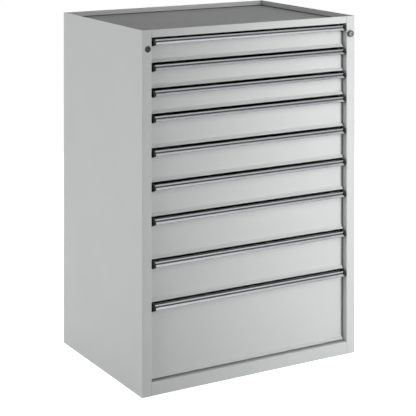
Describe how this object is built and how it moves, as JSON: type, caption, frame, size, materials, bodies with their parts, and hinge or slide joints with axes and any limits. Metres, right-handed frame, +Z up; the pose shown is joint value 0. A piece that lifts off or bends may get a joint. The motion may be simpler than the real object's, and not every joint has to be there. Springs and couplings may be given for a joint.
{
  "type": "industrial drawer cabinet",
  "caption": "Free-standing steel drawer cabinet with full-width handles, telescopic slides, a central lock and a ribbed mat in its top tray.",
  "frame": {"origin": "middle of the bounding box's foot, on the floor under the cabinet", "axes": "+Z up, -Y out of the drawer fronts, +X to the right for someone who faces the fronts"},
  "size_m": [0.905, 0.679, 1.28],
  "materials": {
    "housing_paint": "satin light grey powder coat with a fine orange-peel texture",
    "drawer_paint": "satin light grey powder coat with a fine orange-peel texture",
    "handle_aluminium": "satin anodised extrusion with black moulded end caps",
    "zinc_steel": "bright zinc plated sheet and rolled sections",
    "mat_rubber": "matt dark grey ribbed rubber",
    "black_plastic": "black moulded plastic",
    "lock_metal": "satin nickel plated barrel"
  },
  "bodies": {
    "cabinet": {"left_side_panel": "housing_paint", "right_side_panel": "housing_paint", "back_panel": "housing_paint", "top_rail": "housing_paint", "top_tray": "housing_paint", "ribbed_mat": "mat_rubber", "plinth": "housing_paint", "base_pan": "housing_paint", "left_runner_wall": "zinc_steel", "right_runner_wall": "zinc_steel", "lock_housing": "black_plastic", "blanking_plug": "black_plastic"},
    "drawer_1": {"drawer_1_box": "drawer_paint", "drawer_1_handle": "handle_aluminium", "drawer_1_catch": "zinc_steel"},
    "drawer_1_slides": {"drawer_1_slide_left": "zinc_steel", "drawer_1_slide_right": "zinc_steel"},
    "drawer_2": {"drawer_2_box": "drawer_paint", "drawer_2_handle": "handle_aluminium", "drawer_2_catch": "zinc_steel"},
    "drawer_2_slides": {"drawer_2_slide_left": "zinc_steel", "drawer_2_slide_right": "zinc_steel"},
    "drawer_3": {"drawer_3_box": "drawer_paint", "drawer_3_handle": "handle_aluminium", "drawer_3_catch": "zinc_steel"},
    "drawer_3_slides": {"drawer_3_slide_left": "zinc_steel", "drawer_3_slide_right": "zinc_steel"},
    "drawer_4": {"drawer_4_box": "drawer_paint", "drawer_4_handle": "handle_aluminium", "drawer_4_catch": "zinc_steel"},
    "drawer_4_slides": {"drawer_4_slide_left": "zinc_steel", "drawer_4_slide_right": "zinc_steel"},
    "drawer_5": {"drawer_5_box": "drawer_paint", "drawer_5_handle": "handle_aluminium", "drawer_5_catch": "zinc_steel"},
    "drawer_5_slides": {"drawer_5_slide_left": "zinc_steel", "drawer_5_slide_right": "zinc_steel"},
    "drawer_6": {"drawer_6_box": "drawer_paint", "drawer_6_handle": "handle_aluminium", "drawer_6_catch": "zinc_steel"},
    "drawer_6_slides": {"drawer_6_slide_left": "zinc_steel", "drawer_6_slide_right": "zinc_steel"},
    "drawer_7": {"drawer_7_box": "drawer_paint", "drawer_7_handle": "handle_aluminium", "drawer_7_catch": "zinc_steel"},
    "drawer_7_slides": {"drawer_7_slide_left": "zinc_steel", "drawer_7_slide_right": "zinc_steel"},
    "drawer_8": {"drawer_8_box": "drawer_paint", "drawer_8_handle": "handle_aluminium", "drawer_8_catch": "zinc_steel"},
    "drawer_8_slides": {"drawer_8_slide_left": "zinc_steel", "drawer_8_slide_right": "zinc_steel"},
    "drawer_9": {"drawer_9_box": "drawer_paint", "drawer_9_handle": "handle_aluminium", "drawer_9_catch": "zinc_steel"},
    "drawer_9_slides": {"drawer_9_slide_left": "zinc_steel", "drawer_9_slide_right": "zinc_steel"},
    "lock_barrel": {"lock_barrel": "lock_metal"},
    "lock_bar": {"lock_bar": "zinc_steel"}
  },
  "joints": [
    {"name": "drawer_1_travel", "type": "slide", "parent": "cabinet", "child": "drawer_1", "axis": [0, -1, 0], "range_m": [0, 0.6]},
    {"name": "drawer_1_slides_travel", "type": "slide", "parent": "cabinet", "child": "drawer_1_slides", "axis": [0, -1, 0], "range_m": [0, 0.3]},
    {"name": "drawer_2_travel", "type": "slide", "parent": "cabinet", "child": "drawer_2", "axis": [0, -1, 0], "range_m": [0, 0.6]},
    {"name": "drawer_2_slides_travel", "type": "slide", "parent": "cabinet", "child": "drawer_2_slides", "axis": [0, -1, 0], "range_m": [0, 0.3]},
    {"name": "drawer_3_travel", "type": "slide", "parent": "cabinet", "child": "drawer_3", "axis": [0, -1, 0], "range_m": [0, 0.6]},
    {"name": "drawer_3_slides_travel", "type": "slide", "parent": "cabinet", "child": "drawer_3_slides", "axis": [0, -1, 0], "range_m": [0, 0.3]},
    {"name": "drawer_4_travel", "type": "slide", "parent": "cabinet", "child": "drawer_4", "axis": [0, -1, 0], "range_m": [0, 0.6]},
    {"name": "drawer_4_slides_travel", "type": "slide", "parent": "cabinet", "child": "drawer_4_slides", "axis": [0, -1, 0], "range_m": [0, 0.3]},
    {"name": "drawer_5_travel", "type": "slide", "parent": "cabinet", "child": "drawer_5", "axis": [0, -1, 0], "range_m": [0, 0.6]},
    {"name": "drawer_5_slides_travel", "type": "slide", "parent": "cabinet", "child": "drawer_5_slides", "axis": [0, -1, 0], "range_m": [0, 0.3]},
    {"name": "drawer_6_travel", "type": "slide", "parent": "cabinet", "child": "drawer_6", "axis": [0, -1, 0], "range_m": [0, 0.6]},
    {"name": "drawer_6_slides_travel", "type": "slide", "parent": "cabinet", "child": "drawer_6_slides", "axis": [0, -1, 0], "range_m": [0, 0.3]},
    {"name": "drawer_7_travel", "type": "slide", "parent": "cabinet", "child": "drawer_7", "axis": [0, -1, 0], "range_m": [0, 0.6]},
    {"name": "drawer_7_slides_travel", "type": "slide", "parent": "cabinet", "child": "drawer_7_slides", "axis": [0, -1, 0], "range_m": [0, 0.3]},
    {"name": "drawer_8_travel", "type": "slide", "parent": "cabinet", "child": "drawer_8", "axis": [0, -1, 0], "range_m": [0, 0.6]},
    {"name": "drawer_8_slides_travel", "type": "slide", "parent": "cabinet", "child": "drawer_8_slides", "axis": [0, -1, 0], "range_m": [0, 0.3]},
    {"name": "drawer_9_travel", "type": "slide", "parent": "cabinet", "child": "drawer_9", "axis": [0, -1, 0], "range_m": [0, 0.6]},
    {"name": "drawer_9_slides_travel", "type": "slide", "parent": "cabinet", "child": "drawer_9_slides", "axis": [0, -1, 0], "range_m": [0, 0.3]},
    {"name": "lock_bar_shift", "type": "slide", "parent": "cabinet", "child": "lock_bar", "axis": [-1, 0, 0], "range_m": [0, 0.01]},
    {"name": "lock_barrel_turn", "type": "hinge", "parent": "cabinet", "child": "lock_barrel", "pos_m": [0.4305, -0.3305, 1.2135], "axis": [0, -1, 0], "range_deg": [0, 90]}
  ],
  "couplings": [
    {"joint": "drawer_1_slides_travel", "follows": "drawer_1_travel", "ratio": 0.5},
    {"joint": "drawer_2_slides_travel", "follows": "drawer_2_travel", "ratio": 0.5},
    {"joint": "drawer_3_slides_travel", "follows": "drawer_3_travel", "ratio": 0.5},
    {"joint": "drawer_4_slides_travel", "follows": "drawer_4_travel", "ratio": 0.5},
    {"joint": "drawer_5_slides_travel", "follows": "drawer_5_travel", "ratio": 0.5},
    {"joint": "drawer_6_slides_travel", "follows": "drawer_6_travel", "ratio": 0.5},
    {"joint": "drawer_7_slides_travel", "follows": "drawer_7_travel", "ratio": 0.5},
    {"joint": "drawer_8_slides_travel", "follows": "drawer_8_travel", "ratio": 0.5},
    {"joint": "drawer_9_slides_travel", "follows": "drawer_9_travel", "ratio": 0.5},
    {"joint": "lock_barrel_turn", "follows": "lock_bar_shift", "rad_per_m": 157.08}
  ]
}
